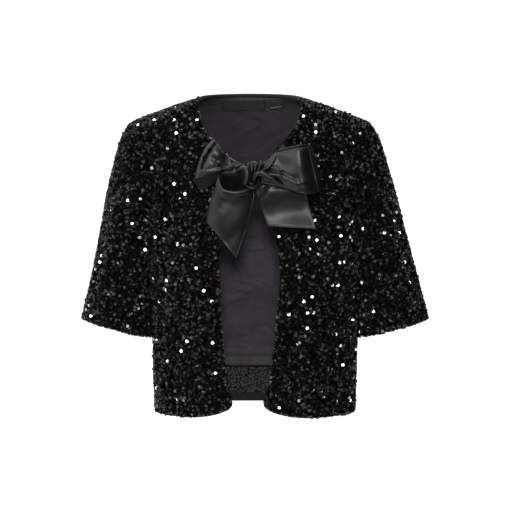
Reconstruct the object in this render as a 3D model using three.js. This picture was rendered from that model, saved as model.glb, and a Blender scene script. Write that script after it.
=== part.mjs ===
// A cropped cardigan of sequinned cloth in its worn form, with half sleeves and a satin bow at the neck.
// Millimetres. X runs to the wearer's left, Y to the back, Z up.
// The origin lies between the two ends of the neckline at the shoulder seams.
import * as THREE from 'three';

// Driving sizes of the garment.
const HEM_Z = -498;             // hem, below the side of the neck
const NECK_RISE = 2.6;          // back neck edge of the cloth, above the side of the neck
const CLOTH = 2;                // sequinned cloth, through
const LINING = 1;               // lining, tape and labels, through
const RIBBON = 1.2;             // satin ribbon, through
const SEAM = 0.35;              // space between two pieces at a seam
const ARM_SEAM = 0.45;          // the same at the armhole, where the seam turns on a curve
const LINING_HEM_Z = -439;      // lower edge of the lining
const ARM_MID_Z = -120;         // middle of the armhole
const ARM_HALF = 80;            // half the armhole's height
const ARM_DEG = 31;             // how far the armhole reaches round the front and the back
const CORNER = { wide: 88, high: 26 }; // rounded corner between hem and front edge
const LEAN = { by: 8, from: -45, to: -350 }; // the body stands this far to the wearer's left below
const SQUARENESS = 2.3;         // exponent of the body's rounded sections

// The body's sections: half width, and depth before and behind the side seams.
const BODY = [
  { z: 8, half: 74, front: 48, back: 57 },
  { z: 0, half: 84, front: 50, back: 58 },
  { z: -9, half: 112, front: 54, back: 62 },
  { z: -17, half: 134, front: 57, back: 65 },
  { z: -26, half: 158, front: 60, back: 68 },
  { z: -40, half: 190, front: 65, back: 73 },
  { z: -60, half: 187, front: 71, back: 78 },
  { z: -85, half: 180, front: 79, back: 84 },
  { z: -120, half: 173, front: 88, back: 91 },
  { z: -160, half: 170, front: 98, back: 95 },
  { z: -200, half: 170, front: 105.5, back: 97 },
  { z: -260, half: 167, front: 111, back: 95 },
  { z: -320, half: 162.5, front: 112, back: 92 },
  { z: -380, half: 159.5, front: 110, back: 92 },
  { z: -440, half: 158.5, front: 107, back: 92 },
  { z: -500, half: 157.5, front: 104, back: 94 },
];

// Front edge of each front from the shoulder down: its place either side of the middle.
const FRONT_EDGE = [
  { z: 0, right: -83.2, left: 83.2 },
  { z: -18, right: -79.8, left: 80 },
  { z: -35, right: -75.8, left: 74.5 },
  { z: -48, right: -68.3, left: 66 },
  { z: -60, right: -57.3, left: 55 },
  { z: -80, right: -38, left: 36 },
  { z: -105, right: -19, left: 19 },
  { z: -150, right: -30, left: 28 },
  { z: -205, right: -43, left: 40 },
  { z: -243, right: -48, left: 46.5 },
  { z: -285, right: -46.6, left: 47 },
  { z: -342, right: -45, left: 41.5 },
  { z: -393, right: -41, left: 36.7 },
  { z: -435, right: -35.5, left: 31.5 },
  { z: -473, right: -27.5, left: 21.5 },
  { z: -500, right: -27, left: 21 },
];

// Soft folds down the body. Degrees run from the left side seam over the back; the front is below zero.
const BODY_FOLDS = [
  { deg: -36, drift: 3, wide: 9, high: 3.6, top: -42, bottom: -215 },
  { deg: -49, drift: 3, wide: 8, high: -2.4, top: -60, bottom: -260 },
  { deg: -58, drift: -4, wide: 11, high: 2.6, top: -230, bottom: -540 },
  { deg: -28, drift: -3, wide: 11, high: 2.2, top: -300, bottom: -560 },
  { deg: -145, drift: -4, wide: 9, high: 2.8, top: -50, bottom: -240 },
  { deg: -131, drift: 2, wide: 9, high: -2.2, top: -110, bottom: -330 },
  { deg: -118, drift: 5, wide: 10, high: 2.4, top: -250, bottom: -560 },
  { deg: -150, drift: 3, wide: 12, high: 2.4, top: -330, bottom: -560 },
  { deg: 44, drift: 4, wide: 11, high: 3, top: -60, bottom: -300 },
  { deg: 136, drift: -5, wide: 11, high: 2.6, top: -80, bottom: -340 },
  { deg: 68, drift: -3, wide: 12, high: 2.8, top: -260, bottom: -560 },
  { deg: 104, drift: 4, wide: 13, high: 2.2, top: -200, bottom: -560 },
  { deg: 128, drift: 3, wide: 10, high: -2.2, top: -320, bottom: -560 },
];

// Sections of a sleeve: its outer and inner line seen from the front, and half its depth.
const SLEEVE = [
  { row: 0, outX: 190, outZ: -40, inX: 169.7, inZ: -199.7, deep: 50 },
  { row: 1, outX: 195.5, outZ: -48, inX: 172.4, inZ: -196.6, deep: 51 },
  { row: 2, outX: 204, outZ: -66, inX: 174.8, inZ: -199.5, deep: 52 },
  { row: 3, outX: 211, outZ: -87, inX: 173.6, inZ: -211, deep: 53 },
  { row: 4, outX: 218, outZ: -112, inX: 171.2, inZ: -227, deep: 54 },
  { row: 5, outX: 228, outZ: -150, inX: 169, inZ: -252, deep: 54 },
  { row: 6, outX: 236.5, outZ: -190, inX: 166.9, inZ: -279, deep: 53 },
  { row: 7, outX: 247, outZ: -236, inX: 164.7, inZ: -309, deep: 52 },
  { row: 8, outX: 259.5, outZ: -288, inX: 162.6, inZ: -342, deep: 50 },
  { row: 9, outX: 271, outZ: -332, inX: 161.2, inZ: -368, deep: 48 },
  { row: 10, outX: 275, outZ: -350, inX: 160.9, inZ: -378.5, deep: 47 },
];

// Soft folds down each sleeve. Degrees run from its outer line over the back.
// Top and bottom are rows of the table above.
// The left sleeve has a narrow one that runs from its front to the inner corner of its hem.
const SLEEVE_FOLDS = {
  left: [
    { deg: 300, drift: 8, wide: 24, high: 3.4, top: 0.6, bottom: 6 },
    { deg: 325, drift: -6, wide: 22, high: -2.4, top: 2.5, bottom: 12 },
    { deg: 236, drift: -58, wide: 15, high: 3.6, top: 3, bottom: 11.5 },
    { deg: 62, drift: 6, wide: 26, high: 2.8, top: 1, bottom: 9 },
    { deg: 108, drift: -8, wide: 26, high: 2.6, top: 4, bottom: 12 },
  ],
  right: [
    { deg: 295, drift: 10, wide: 24, high: 3, top: 1, bottom: 8 },
    { deg: 330, drift: -6, wide: 22, high: -2.2, top: 3, bottom: 12 },
    { deg: 248, drift: -12, wide: 26, high: 3, top: 4, bottom: 12.5 },
    { deg: 70, drift: 8, wide: 26, high: 2.8, top: 1, bottom: 8.5 },
    { deg: 118, drift: -8, wide: 26, high: 2.6, top: 3.5, bottom: 12 },
  ],
};

// Stations of ribbon: top and bottom edge of the width, and how far forward it lies.
// The loops run from the knot out, round the end and back behind. The tails run down from the knot.
// The ties run from the neckline to the knot.
const LOOP_LEFT = [
  { topX: 14, topZ: -96, bottomX: 14, bottomZ: -114, y: -114 },
  { topX: 29, topZ: -86, bottomX: 31, bottomZ: -120, y: -123 },
  { topX: 48, topZ: -68, bottomX: 50, bottomZ: -129, y: -128 },
  { topX: 70, topZ: -62, bottomX: 74, bottomZ: -134, y: -129 },
  { topX: 87, topZ: -61, bottomX: 97, bottomZ: -136, y: -125 },
  { topX: 95, topZ: -61, bottomX: 110, bottomZ: -136, y: -116 },
  { topX: 91, topZ: -62, bottomX: 105, bottomZ: -134, y: -106 },
  { topX: 70, topZ: -66, bottomX: 80, bottomZ: -130, y: -103 },
  { topX: 42, topZ: -78, bottomX: 46, bottomZ: -121, y: -103 },
  { topX: 14, topZ: -95, bottomX: 14, bottomZ: -109, y: -105 },
];
const LOOP_RIGHT = [
  { topX: -8, topZ: -96, bottomX: -8, bottomZ: -104.5, y: -114 },
  { topX: -25, topZ: -87, bottomX: -26, bottomZ: -107, y: -120 },
  { topX: -41, topZ: -73, bottomX: -49, bottomZ: -112, y: -122 },
  { topX: -51, topZ: -62, bottomX: -70, bottomZ: -117, y: -120 },
  { topX: -56, topZ: -57, bottomX: -81, bottomZ: -122, y: -113 },
  { topX: -55, topZ: -60, bottomX: -79, bottomZ: -131, y: -104 },
  { topX: -43, topZ: -74, bottomX: -60, bottomZ: -132, y: -101 },
  { topX: -25, topZ: -88, bottomX: -30, bottomZ: -119, y: -103 },
  { topX: -8, topZ: -95, bottomX: -8, bottomZ: -111, y: -106 },
];
const TAIL_LEFT = [
  { topX: 12, topZ: -115, bottomX: 10, bottomZ: -125, y: -108.5 },
  { topX: 36, topZ: -117, bottomX: 12, bottomZ: -134, y: -99 },
  { topX: 62, topZ: -121, bottomX: 12, bottomZ: -140, y: -97 },
  { topX: 86, topZ: -137, bottomX: 13, bottomZ: -148, y: -99 },
  { topX: 93, topZ: -158, bottomX: 20, bottomZ: -166, y: -103.5 },
  { topX: 100, topZ: -180, bottomX: 27, bottomZ: -184, y: -107.5 },
  { topX: 105, topZ: -198, bottomX: 31, bottomZ: -193, y: -110.5 },
];
const TAIL_RIGHT = [
  { topX: -8, topZ: -107, bottomX: -8, bottomZ: -121, y: -115 },
  { topX: -27, topZ: -106, bottomX: -6, bottomZ: -127, y: -125 },
  { topX: -43, topZ: -112, bottomX: 0, bottomZ: -134, y: -130 },
  { topX: -50, topZ: -127, bottomX: 6, bottomZ: -143, y: -131 },
  { topX: -58, topZ: -147, bottomX: 4, bottomZ: -166, y: -127 },
  { topX: -64, topZ: -165, bottomX: -4, bottomZ: -198, y: -121 },
  { topX: -69, topZ: -186, bottomX: -20, bottomZ: -241, y: -117 },
];
const TIE_LEFT = [
  { topX: 53, topZ: -64, bottomX: 58, bottomZ: -78, y: -74 },
  { topX: 36, topZ: -82, bottomX: 42, bottomZ: -94, y: -87 },
  { topX: 15.5, topZ: -94, bottomX: 17.5, bottomZ: -105, y: -98 },
];
const TIE_RIGHT = [
  { topX: -54, topZ: -63, bottomX: -60, bottomZ: -78, y: -74 },
  { topX: -33, topZ: -84, bottomX: -38, bottomZ: -96, y: -88 },
  { topX: -8.5, topZ: -97, bottomX: -9.5, bottomZ: -108, y: -99 },
];

// Sections of the knot, from the gathered top to the roll at its foot.
const KNOT = [
  { z: -84, x: 7, y: -104, halfX: 5, halfY: 4 },
  { z: -88, x: 7, y: -105, halfX: 10, halfY: 8.5 },
  { z: -96, x: 5, y: -107, halfX: 11, halfY: 11 },
  { z: -106, x: 3, y: -109, halfX: 10, halfY: 13 },
  { z: -117, x: 2.5, y: -110, halfX: 9, halfY: 13 },
  { z: -126, x: 3, y: -109, halfX: 7.5, halfY: 10 },
  { z: -131, x: 3.5, y: -108, halfX: 4, halfY: 5 },
];
const KNOT_PLEATS = { count: 7, high: 0.8 };

// Labels inside the back neck: left and right edge, distance below the neck edge, and height.
const NECK_LABEL = { from: -46, to: 24, below: 3, high: 18, across: 6 };
const SIZE_LABEL = { from: 32, to: 54, below: 4, high: 15, across: 3 };
const HEM_TAPE = { above: 1, high: 12.5 };
const NECK_BINDING = { high: 4, out: 0.6, thick: 4.6 };

// How finely the panels are divided.
const BACK_COLUMNS = 20;
const FRONT_COLUMNS = 12;
const ARM_STEPS = 10;
const HEM_LEVELS = [HEM_Z, -484, -462, LINING_HEM_Z, -395, -345, -290, -240];
const SHOULDER_STEPS = 5;
const SLEEVE_RINGS = 12;
const KNOT_COLUMNS = 20;
const KNOT_STEPS = 9;
const FRONT_CROWDING = 1.4;     // above 1, the front's columns are closer near its front edge
const SLEEVE_CROWDING = 1.15;   // above 1, the sleeve's rings are closer near the armhole

// How the forms are blended.
const BODY_FADE = 3;            // a fold on the body fades in over a third of its length
const SLEEVE_FADE = 2.5;        // the same on a sleeve
const ARM_FADE = 3;             // exponent with which the armhole's shape fades down the sleeve
const NECK_CURVE = 0.6;         // exponent of the back neck's rise towards its middle
const PLEAT_ROWS = 3;           // the pleats beside the knot run out over this many stations
const ENDS = 3;                 // exponent that keeps a ribbon's bulge away from its ends

// Small steps over which slopes are measured.
const STEP = { deg: 0.5, z: 0.5, turn: 1, row: 0.05, share: 0.02 };

const RAD = Math.PI / 180;
const colours = {
  sequin: { color: '#11110f', roughness: 0.32, metalness: 0.25 },
  lining: { color: '#2e2b2f', roughness: 0.55, metalness: 0 },
  satin: { color: '#3a3d3c', roughness: 0.3, metalness: 0 },
  tape: { color: '#141414', roughness: 0.7, metalness: 0 },
  label: { color: '#121212', roughness: 0.5, metalness: 0 },
};

// Value of one column of a table at a given place, on a smooth curve through its rows.
function read(table, by, column, place) {
  const last = table.length - 1;
  const sign = Math.sign(table[last][by] - table[0][by]);
  const inside = sign * Math.min(Math.max(sign * place, sign * table[0][by]), sign * table[last][by]);
  let i = 0;
  while (i < last - 1 && sign * table[i + 1][by] < sign * inside) i += 1;
  const slope = (k) => {
    const before = table[Math.max(k - 1, 0)];
    const after = table[Math.min(k + 1, last)];
    return (after[column] - before[column]) / (after[by] - before[by]);
  };
  const step = table[i + 1][by] - table[i][by];
  const t = (inside - table[i][by]) / step;
  return table[i][column] * (1 + 2 * t) * (1 - t) ** 2 + slope(i) * step * t * (1 - t) ** 2
    + table[i + 1][column] * t * t * (3 - 2 * t) - slope(i + 1) * step * t * t * (1 - t);
}

const smooth = (t) => {
  const k = Math.min(Math.max(t, 0), 1);
  return k * k * (3 - 2 * k);
};
const mix = (a, b, t) => a + (b - a) * t;
const power = (value, exponent) => Math.sign(value) * Math.abs(value) ** exponent;
const lean = (z) => LEAN.by * smooth((LEAN.from - z) / (LEAN.from - LEAN.to));

// Height of the folds at a place: soft ridges and troughs that fade in and out along their length.
// The larger along is, the shorter the fading ends are.
function folds(table, deg, place, along) {
  let sum = 0;
  for (const fold of table) {
    const length = fold.bottom - fold.top;
    const t = (place - fold.top) / length;
    const across = (deg - fold.deg - fold.drift * (t - 0.5)) / fold.wide;
    if (t > 0 && t < 1 && Math.abs(across) < 1) {
      const bell = (1 + Math.cos(Math.PI * across)) / 2;
      sum += fold.high * bell * smooth(t * along) * smooth((1 - t) * along);
    }
  }
  return sum;
}

// Point of the body's plain surface: rounded sections stacked over the height.
function plainBody(deg, z) {
  const depth = read(BODY, 'z', deg > 0 ? 'back' : 'front', z);
  return new THREE.Vector3(
    lean(z) + read(BODY, 'z', 'half', z) * power(Math.cos(deg * RAD), 2 / SQUARENESS),
    depth * power(Math.sin(deg * RAD), 2 / SQUARENESS),
    z,
  );
}

// Point and outward normal of the body, with its folds. The normal is the plain surface's own.
function body(deg, z) {
  const round = plainBody(deg + STEP.deg, z).sub(plainBody(deg - STEP.deg, z));
  const up = plainBody(deg, z + STEP.z).sub(plainBody(deg, z - STEP.z));
  const normal = round.cross(up).normalize();
  const point = plainBody(deg, z).addScaledVector(normal, folds(BODY_FOLDS, deg, z, BODY_FADE));
  return { point, normal };
}

// Degrees from the nearer side seam at which the body crosses a plane of constant X.
function degreesAt(x, z) {
  const share = (x - lean(z)) / read(BODY, 'z', 'half', z);
  const inside = Math.min(Math.max(share, -1), 1);
  return Math.acos(power(inside, SQUARENESS / 2)) / RAD;
}

// Degrees between the side seam and a panel's edge: half a seam, or the armhole where there is one.
function sideDegrees(z, depth) {
  const seam = Math.asin((SEAM / 2 / depth) ** (SQUARENESS / 2)) / RAD;
  const rise = (z - ARM_MID_Z) / ARM_HALF;
  return Math.abs(rise) < 1 ? Math.max(ARM_DEG * Math.sqrt(1 - rise * rise), seam) : seam;
}

// Closed wall from a grid of points with normals: the outer face, the inner face and the rim.
// A tube's columns run round and join up.
function wall(grid, thick, out = 0, tube = false) {
  const rows = grid.length;
  const columns = grid[0].length;
  const corners = [];
  for (const lift of [out, out - thick]) {
    for (const row of grid) {
      for (const { point, normal } of row) corners.push(point.clone().addScaledVector(normal, lift));
    }
  }
  const faces = [];
  const quad = (a, b, c, d) => faces.push(a, b, c, a, c, d);
  const outer = (r, c) => r * columns + (c % columns);
  const inner = (r, c) => rows * columns + outer(r, c);
  const across = tube ? columns : columns - 1;
  for (let r = 0; r < rows - 1; r += 1) {
    for (let c = 0; c < across; c += 1) {
      quad(outer(r, c), outer(r, c + 1), outer(r + 1, c + 1), outer(r + 1, c));
      quad(inner(r, c), inner(r + 1, c), inner(r + 1, c + 1), inner(r, c + 1));
    }
  }
  for (let c = 0; c < across; c += 1) {
    quad(outer(0, c), inner(0, c), inner(0, c + 1), outer(0, c + 1));
    quad(outer(rows - 1, c), outer(rows - 1, c + 1), inner(rows - 1, c + 1), inner(rows - 1, c));
  }
  for (let r = 0; r < rows - 1 && !tube; r += 1) {
    quad(outer(r, 0), outer(r + 1, 0), inner(r + 1, 0), inner(r, 0));
    quad(outer(r, across), inner(r, across), inner(r + 1, across), outer(r + 1, across));
  }
  return solid(corners, faces);
}

// Geometry of a closed body, turned so that its faces point out.
function solid(corners, faces) {
  let volume = 0;
  for (let i = 0; i < faces.length; i += 3) {
    const [a, b, c] = [corners[faces[i]], corners[faces[i + 1]], corners[faces[i + 2]]];
    volume += a.dot(b.clone().cross(c));
  }
  if (volume < 0) faces.reverse();
  const geometry = new THREE.BufferGeometry();
  geometry.setAttribute('position', new THREE.Float32BufferAttribute(corners.flatMap((p) => p.toArray()), 3));
  geometry.setIndex(faces);
  geometry.computeVertexNormals();
  return geometry;
}

// Heights of the panels' rows. Between hem and armpit they are listed, and above they follow the armhole.
function levels() {
  const armpit = ARM_MID_Z - ARM_HALF;
  const top = ARM_MID_Z + ARM_HALF;
  const arm = Array.from({ length: ARM_STEPS + 1 }, (_, k) => (
    ARM_MID_Z - ARM_HALF * Math.cos(Math.PI * k / ARM_STEPS)
  ));
  const shoulder = Array.from({ length: SHOULDER_STEPS }, (_, k) => top * (1 - (k + 1) / SHOULDER_STEPS));
  return [...HEM_LEVELS.filter((z) => z < armpit), ...arm, ...shoulder];
}

// Height of a row away from the armhole, where the rows between armpit and shoulder are evenly spaced.
function evened(level, share) {
  const t = (level - ARM_MID_Z) / ARM_HALF;
  if (Math.abs(t) >= 1) return level;
  const even = ARM_MID_Z + ARM_HALF * (1 - 2 * Math.acos(t) / Math.PI);
  return mix(level, even, share);
}

// Degrees of a column. The side's own edge, seam or armhole, moves the nearest columns most.
const columnDegrees = (side, edge, share) => mix(0, edge, share) + side * (1 - share) ** 2;

// Rise of the back neck's edge above the side of the neck.
const neckEdge = (deg) => NECK_RISE * Math.sin(deg * RAD) ** NECK_CURVE;

// Back panel's grid from the hem to the neck edge, from the left side to the right.
// The top rows rise a little towards the middle of the neck.
function backGrid(lowest, highest) {
  const shoulder = ARM_MID_Z + ARM_HALF;
  return levels().filter((z) => z >= lowest && z <= highest).map((level) => (
    Array.from({ length: BACK_COLUMNS + 1 }, (_, c) => {
      const side = sideDegrees(level, read(BODY, 'z', 'back', level));
      const share = 1 - Math.abs(1 - 2 * c / BACK_COLUMNS);
      const near = columnDegrees(side, 90, share);
      const deg = 2 * c <= BACK_COLUMNS ? near : 180 - near;
      return body(deg, evened(level, share) + neckEdge(deg) * Math.max(0, 1 - level / shoulder));
    })
  ));
}

// Front panel's grid, from its side seam to its front edge. The hem turns up in a rounded corner.
function frontGrid(side) {
  const low = LINING_HEM_Z;
  return levels().map((level) => (
    Array.from({ length: FRONT_COLUMNS + 1 }, (_, c) => {
      const share = 1 - (1 - c / FRONT_COLUMNS) ** FRONT_CROWDING;
      const seam = sideDegrees(level, read(BODY, 'z', 'front', level));
      const place = (z) => {
        const edge = degreesAt(read(FRONT_EDGE, 'z', side, z), z);
        if (side === 'left') return columnDegrees(seam, edge, share);
        return 180 - columnDegrees(seam, 180 - edge, share);
      };
      const bottom = plainBody(-place(HEM_Z), HEM_Z).x;
      const inset = Math.abs(bottom - read(FRONT_EDGE, 'z', side, HEM_Z)) / CORNER.wide;
      const turnUp = CORNER.high * (1 - Math.sqrt(1 - Math.max(0, 1 - inset) ** 2));
      const z = level < low ? level + turnUp * (low - level) / (low - HEM_Z) : evened(level, share);
      return body(-place(z), z);
    })
  ));
}

// Point of a sleeve before its folds. The armhole's own shape fades out along the first rows.
function plainSleeve(side, turn, row) {
  const half = side === 'left' ? 1 : -1;
  const section = (at) => {
    const cell = (column) => read(SLEEVE, 'row', column, at);
    const swing = Math.cos(turn * RAD);
    const x = mix(cell('inX'), cell('outX'), 0.5 + swing / 2);
    const z = mix(cell('inZ'), cell('outZ'), 0.5 + swing / 2);
    return new THREE.Vector3(lean(z) + half * x, cell('deep') * Math.sin(turn * RAD), z);
  };
  const fade = (1 - Math.max(row, 0) / (SLEEVE.length - 1)) ** ARM_FADE;
  return section(row).addScaledVector(armhole(side, turn).point.sub(section(0)), fade);
}

// Point and normal of the body on the armhole's line, moved in from the panels' edge by a seam.
function armhole(side, turn) {
  const z = ARM_MID_Z + (ARM_HALF - ARM_SEAM) * Math.cos(turn * RAD);
  const deg = (ARM_DEG - ARM_SEAM) * Math.sin(turn * RAD);
  return body(side === 'left' ? deg : Math.sign(deg || 1) * 180 - deg, z);
}

// Sleeve as a tube of rings from the armhole to its hem.
function sleeveGrid(side) {
  const rings = Array.from({ length: SLEEVE_RINGS + 1 }, (_, k) => (
    (SLEEVE.length - 1) * (k / SLEEVE_RINGS) ** SLEEVE_CROWDING
  ));
  return rings.map((row) => (
    Array.from({ length: 2 * ARM_STEPS }, (_, c) => {
      const turn = 180 * c / ARM_STEPS;
      if (row === 0) return armhole(side, turn);
      const round = plainSleeve(side, turn + STEP.turn, row).sub(plainSleeve(side, turn - STEP.turn, row));
      const down = plainSleeve(side, turn, row + STEP.row).sub(plainSleeve(side, turn, row - STEP.row));
      const normal = (side === 'left' ? down.cross(round) : round.cross(down)).normalize();
      const lift = folds(SLEEVE_FOLDS[side], turn, row, SLEEVE_FADE);
      return { point: plainSleeve(side, turn, row).addScaledVector(normal, lift), normal };
    })
  ));
}

// Patch on the inside of the back neck, made from the panel's points.
function labelGrid(label) {
  const heights = [label.below + label.high, label.below + label.high / 2, label.below];
  return heights.map((below) => (
    Array.from({ length: label.across + 1 }, (_, c) => (
      body(degreesAt(mix(label.from, label.to, c / label.across), NECK_RISE - below), NECK_RISE - below)
    ))
  ));
}

// Strip that follows the back panel between two heights above a given edge.
function stripGrid(heightAt, low, high) {
  return [low, (low + high) / 2, high].map((lift) => (
    Array.from({ length: BACK_COLUMNS + 1 }, (_, c) => {
      const side = sideDegrees(HEM_Z, BODY[1].back);
      const deg = mix(side, 180 - side, c / BACK_COLUMNS);
      return body(deg, heightAt(deg) + lift);
    })
  ));
}

// Place of the knot's side at a point beside it, a seam away. Side is 1 on its left and -1 on its right.
function besideKnot({ y, z }, side) {
  const cell = (column) => read(KNOT, 'z', column, z);
  const across = Math.min(Math.abs(y - cell('y')) / cell('halfY'), 1);
  return cell('x') + side * (SEAM + KNOT_PLEATS.high + cell('halfX') * Math.sqrt(1 - across * across));
}

// Ribbon laid through its stations. Its outward side bulges across the width.
// Small pleats start at the knot.
// Its ends meet the knot, and a sewn end lies on the front panel.
function ribbonGrid(stations, make) {
  const { steps, across, outward, side, atKnot, sewn, crown = 0, pleats = 0, high = 0 } = make;
  const rows = stations.map((station, row) => ({ row, ...station }));
  const last = rows.length - 1;
  const at = (row, share) => {
    const cell = (column) => read(rows, 'row', column, row);
    return new THREE.Vector3(
      mix(cell('topX'), cell('bottomX'), share),
      cell('y'),
      mix(cell('topZ'), cell('bottomZ'), share),
    );
  };
  return Array.from({ length: steps + 1 }, (_, r) => (
    Array.from({ length: across + 1 }, (__, c) => {
      const row = last * r / steps;
      const share = c / across;
      const along = at(row + STEP.row, share).sub(at(row - STEP.row, share));
      const wide = at(row, share + STEP.share).sub(at(row, share - STEP.share));
      const normal = along.cross(wide).normalize();
      const bulge = crown * Math.sin(Math.PI * share) * Math.sin(Math.PI * row / last) ** ENDS;
      const gather = high * Math.cos(2 * Math.PI * pleats * share) * Math.max(0, 1 - row / PLEAT_ROWS);
      const point = at(row, share).addScaledVector(normal, outward * (bulge + gather));
      if (atKnot.includes(r / steps)) point.x = besideKnot(point, side);
      if (sewn && r === 0) {
        point.y = body(-degreesAt(point.x, point.z), point.z).point.y - SEAM - (outward > 0 ? RIBBON : 0);
      }
      return { point, normal };
    })
  ));
}

// Knot: a rolled band of ribbon, with shallow pleats round it and both ends closed.
function knotSolid() {
  const columns = KNOT_COLUMNS;
  const steps = KNOT_STEPS;
  const corners = [];
  const faces = [];
  for (let r = 0; r <= steps; r += 1) {
    const z = mix(KNOT[0].z, KNOT[KNOT.length - 1].z, r / steps);
    const cell = (column) => read(KNOT, 'z', column, z);
    for (let c = 0; c < columns; c += 1) {
      const turn = 2 * Math.PI * c / columns;
      const pleat = KNOT_PLEATS.high * Math.cos(KNOT_PLEATS.count * turn);
      corners.push(new THREE.Vector3(
        cell('x') + (cell('halfX') + pleat) * Math.cos(turn),
        cell('y') + (cell('halfY') + pleat) * Math.sin(turn),
        z,
      ));
    }
  }
  for (let r = 0; r < steps; r += 1) {
    for (let c = 0; c < columns; c += 1) {
      const next = (c + 1) % columns;
      const [a, b] = [r * columns + c, r * columns + next];
      faces.push(a, b, b + columns, a, b + columns, a + columns);
    }
  }
  for (const [ring, top] of [[0, true], [steps, false]]) {
    const middle = corners.length;
    const z = KNOT[top ? 0 : KNOT.length - 1].z;
    corners.push(new THREE.Vector3(read(KNOT, 'z', 'x', z), read(KNOT, 'z', 'y', z), z));
    for (let c = 0; c < columns; c += 1) {
      const [a, b] = [ring * columns + c, ring * columns + (c + 1) % columns];
      faces.push(middle, top ? b : a, top ? a : b);
    }
  }
  return solid(corners, faces);
}

const cardigan = new THREE.Group();
cardigan.name = 'cardigan';

function add(name, geometry, look) {
  const mesh = new THREE.Mesh(geometry, new THREE.MeshStandardMaterial(look));
  mesh.name = name;
  cardigan.add(mesh);
}

// Sequinned panels and sleeves.
add('back', wall(backGrid(HEM_Z, 0), CLOTH), colours.sequin);
for (const side of ['left', 'right']) {
  add(`front_${side}`, wall(frontGrid(side), CLOTH), colours.sequin);
  add(`sleeve_${side}`, wall(sleeveGrid(side), CLOTH, 0, true), colours.sequin);
}

// Lining, tape, binding and labels of the back. Each lies a seam inside the one before.
add('lining_back', wall(backGrid(LINING_HEM_Z, 0), LINING, -CLOTH - SEAM), colours.lining);
const tape = stripGrid(() => HEM_Z, HEM_TAPE.above, HEM_TAPE.above + HEM_TAPE.high);
add('hem_tape_back', wall(tape, LINING, -CLOTH - SEAM), colours.tape);
const binding = stripGrid(neckEdge, SEAM, SEAM + NECK_BINDING.high);
add('neck_binding', wall(binding, NECK_BINDING.thick, NECK_BINDING.out), colours.tape);
const labelOut = -CLOTH - LINING - 3 * SEAM;
add('neck_label', wall(labelGrid(NECK_LABEL), LINING, labelOut), colours.label);
add('size_label', wall(labelGrid(SIZE_LABEL), LINING, labelOut), colours.label);

// Satin ribbon: ties at the neckline, knot, loops and tails.
const ribbons = [
  { name: 'tie_left', stations: TIE_LEFT, side: 1, outward: 1, atKnot: [1], sewn: true,
    steps: 6, across: 4 },
  { name: 'tie_right', stations: TIE_RIGHT, side: -1, outward: -1, atKnot: [1], sewn: true,
    steps: 6, across: 4 },
  { name: 'loop_left', stations: LOOP_LEFT, side: 1, outward: -1, atKnot: [0, 1], steps: 18, across: 8,
    crown: 5, pleats: 2, high: 1.6 },
  { name: 'loop_right', stations: LOOP_RIGHT, side: -1, outward: 1, atKnot: [0, 1], steps: 16, across: 8,
    crown: 7, pleats: 2, high: 1.2 },
  { name: 'tail_left', stations: TAIL_LEFT, side: 1, outward: -1, atKnot: [0], steps: 12, across: 8,
    crown: 1.5 },
  { name: 'tail_right', stations: TAIL_RIGHT, side: -1, outward: 1, atKnot: [0], steps: 12, across: 8,
    crown: 3 },
];
for (const { name, stations, ...make } of ribbons) {
  add(name, wall(ribbonGrid(stations, make), RIBBON), colours.satin);
}
add('knot', knotSolid(), colours.satin);

export default cardigan;
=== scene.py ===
"""Cropped cardigan of black sequinned cloth, worn and hollow, with half sleeves and a satin bow."""

import bpy
import numpy as np
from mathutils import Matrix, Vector


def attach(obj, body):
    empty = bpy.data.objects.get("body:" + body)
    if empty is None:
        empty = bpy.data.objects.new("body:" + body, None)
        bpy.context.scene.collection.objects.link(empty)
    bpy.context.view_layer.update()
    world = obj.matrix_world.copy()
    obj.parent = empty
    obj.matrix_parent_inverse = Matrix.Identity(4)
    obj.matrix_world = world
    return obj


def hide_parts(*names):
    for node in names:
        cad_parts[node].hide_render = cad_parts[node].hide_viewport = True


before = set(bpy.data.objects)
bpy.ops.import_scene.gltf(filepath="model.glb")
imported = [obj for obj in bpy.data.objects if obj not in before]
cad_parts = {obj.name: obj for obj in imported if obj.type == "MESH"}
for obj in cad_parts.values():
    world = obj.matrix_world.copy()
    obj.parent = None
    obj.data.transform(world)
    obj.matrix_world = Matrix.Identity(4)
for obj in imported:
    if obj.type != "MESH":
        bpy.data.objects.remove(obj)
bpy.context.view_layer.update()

# Back
# One panel of black net, closely sewn with loose flat sequins. It is sewn to the fronts at the shoulders and
# sides and to the sleeves at the armholes, and its own back shows inside, below the lining.

# Sizes are those of the CAD, in millimetres and degrees, and become metres in the mesh.
MM = 0.001
HEM_Z, NECK_Z, NECK_RISE, CLOTH = -498, 0, 2.6, 2
SEAM, ARM_SEAM = 0.35, 0.45
ARM_MID_Z, ARM_HALF, ARM_DEG = -120, 80, 31
ARMPIT, SHOULDER = ARM_MID_Z - ARM_HALF, ARM_MID_Z + ARM_HALF
SQUARENESS = 2.3
LEAN = {"aside": 8, "top": -45, "long": 305}
# z, half width, depth in front, depth behind
BODY = [
    (8, 74, 48, 57), (0, 84, 50, 58), (-9, 112, 54, 62), (-17, 134, 57, 65), (-26, 158, 60, 68),
    (-40, 190, 65, 73), (-60, 187, 71, 78), (-85, 180, 79, 84), (-120, 173, 88, 91), (-160, 170, 98, 95),
    (-200, 170, 105.5, 97), (-260, 167, 111, 95), (-320, 162.5, 112, 92), (-380, 159.5, 110, 92),
    (-440, 158.5, 107, 92), (-500, 157.5, 104, 94),
]
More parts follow.
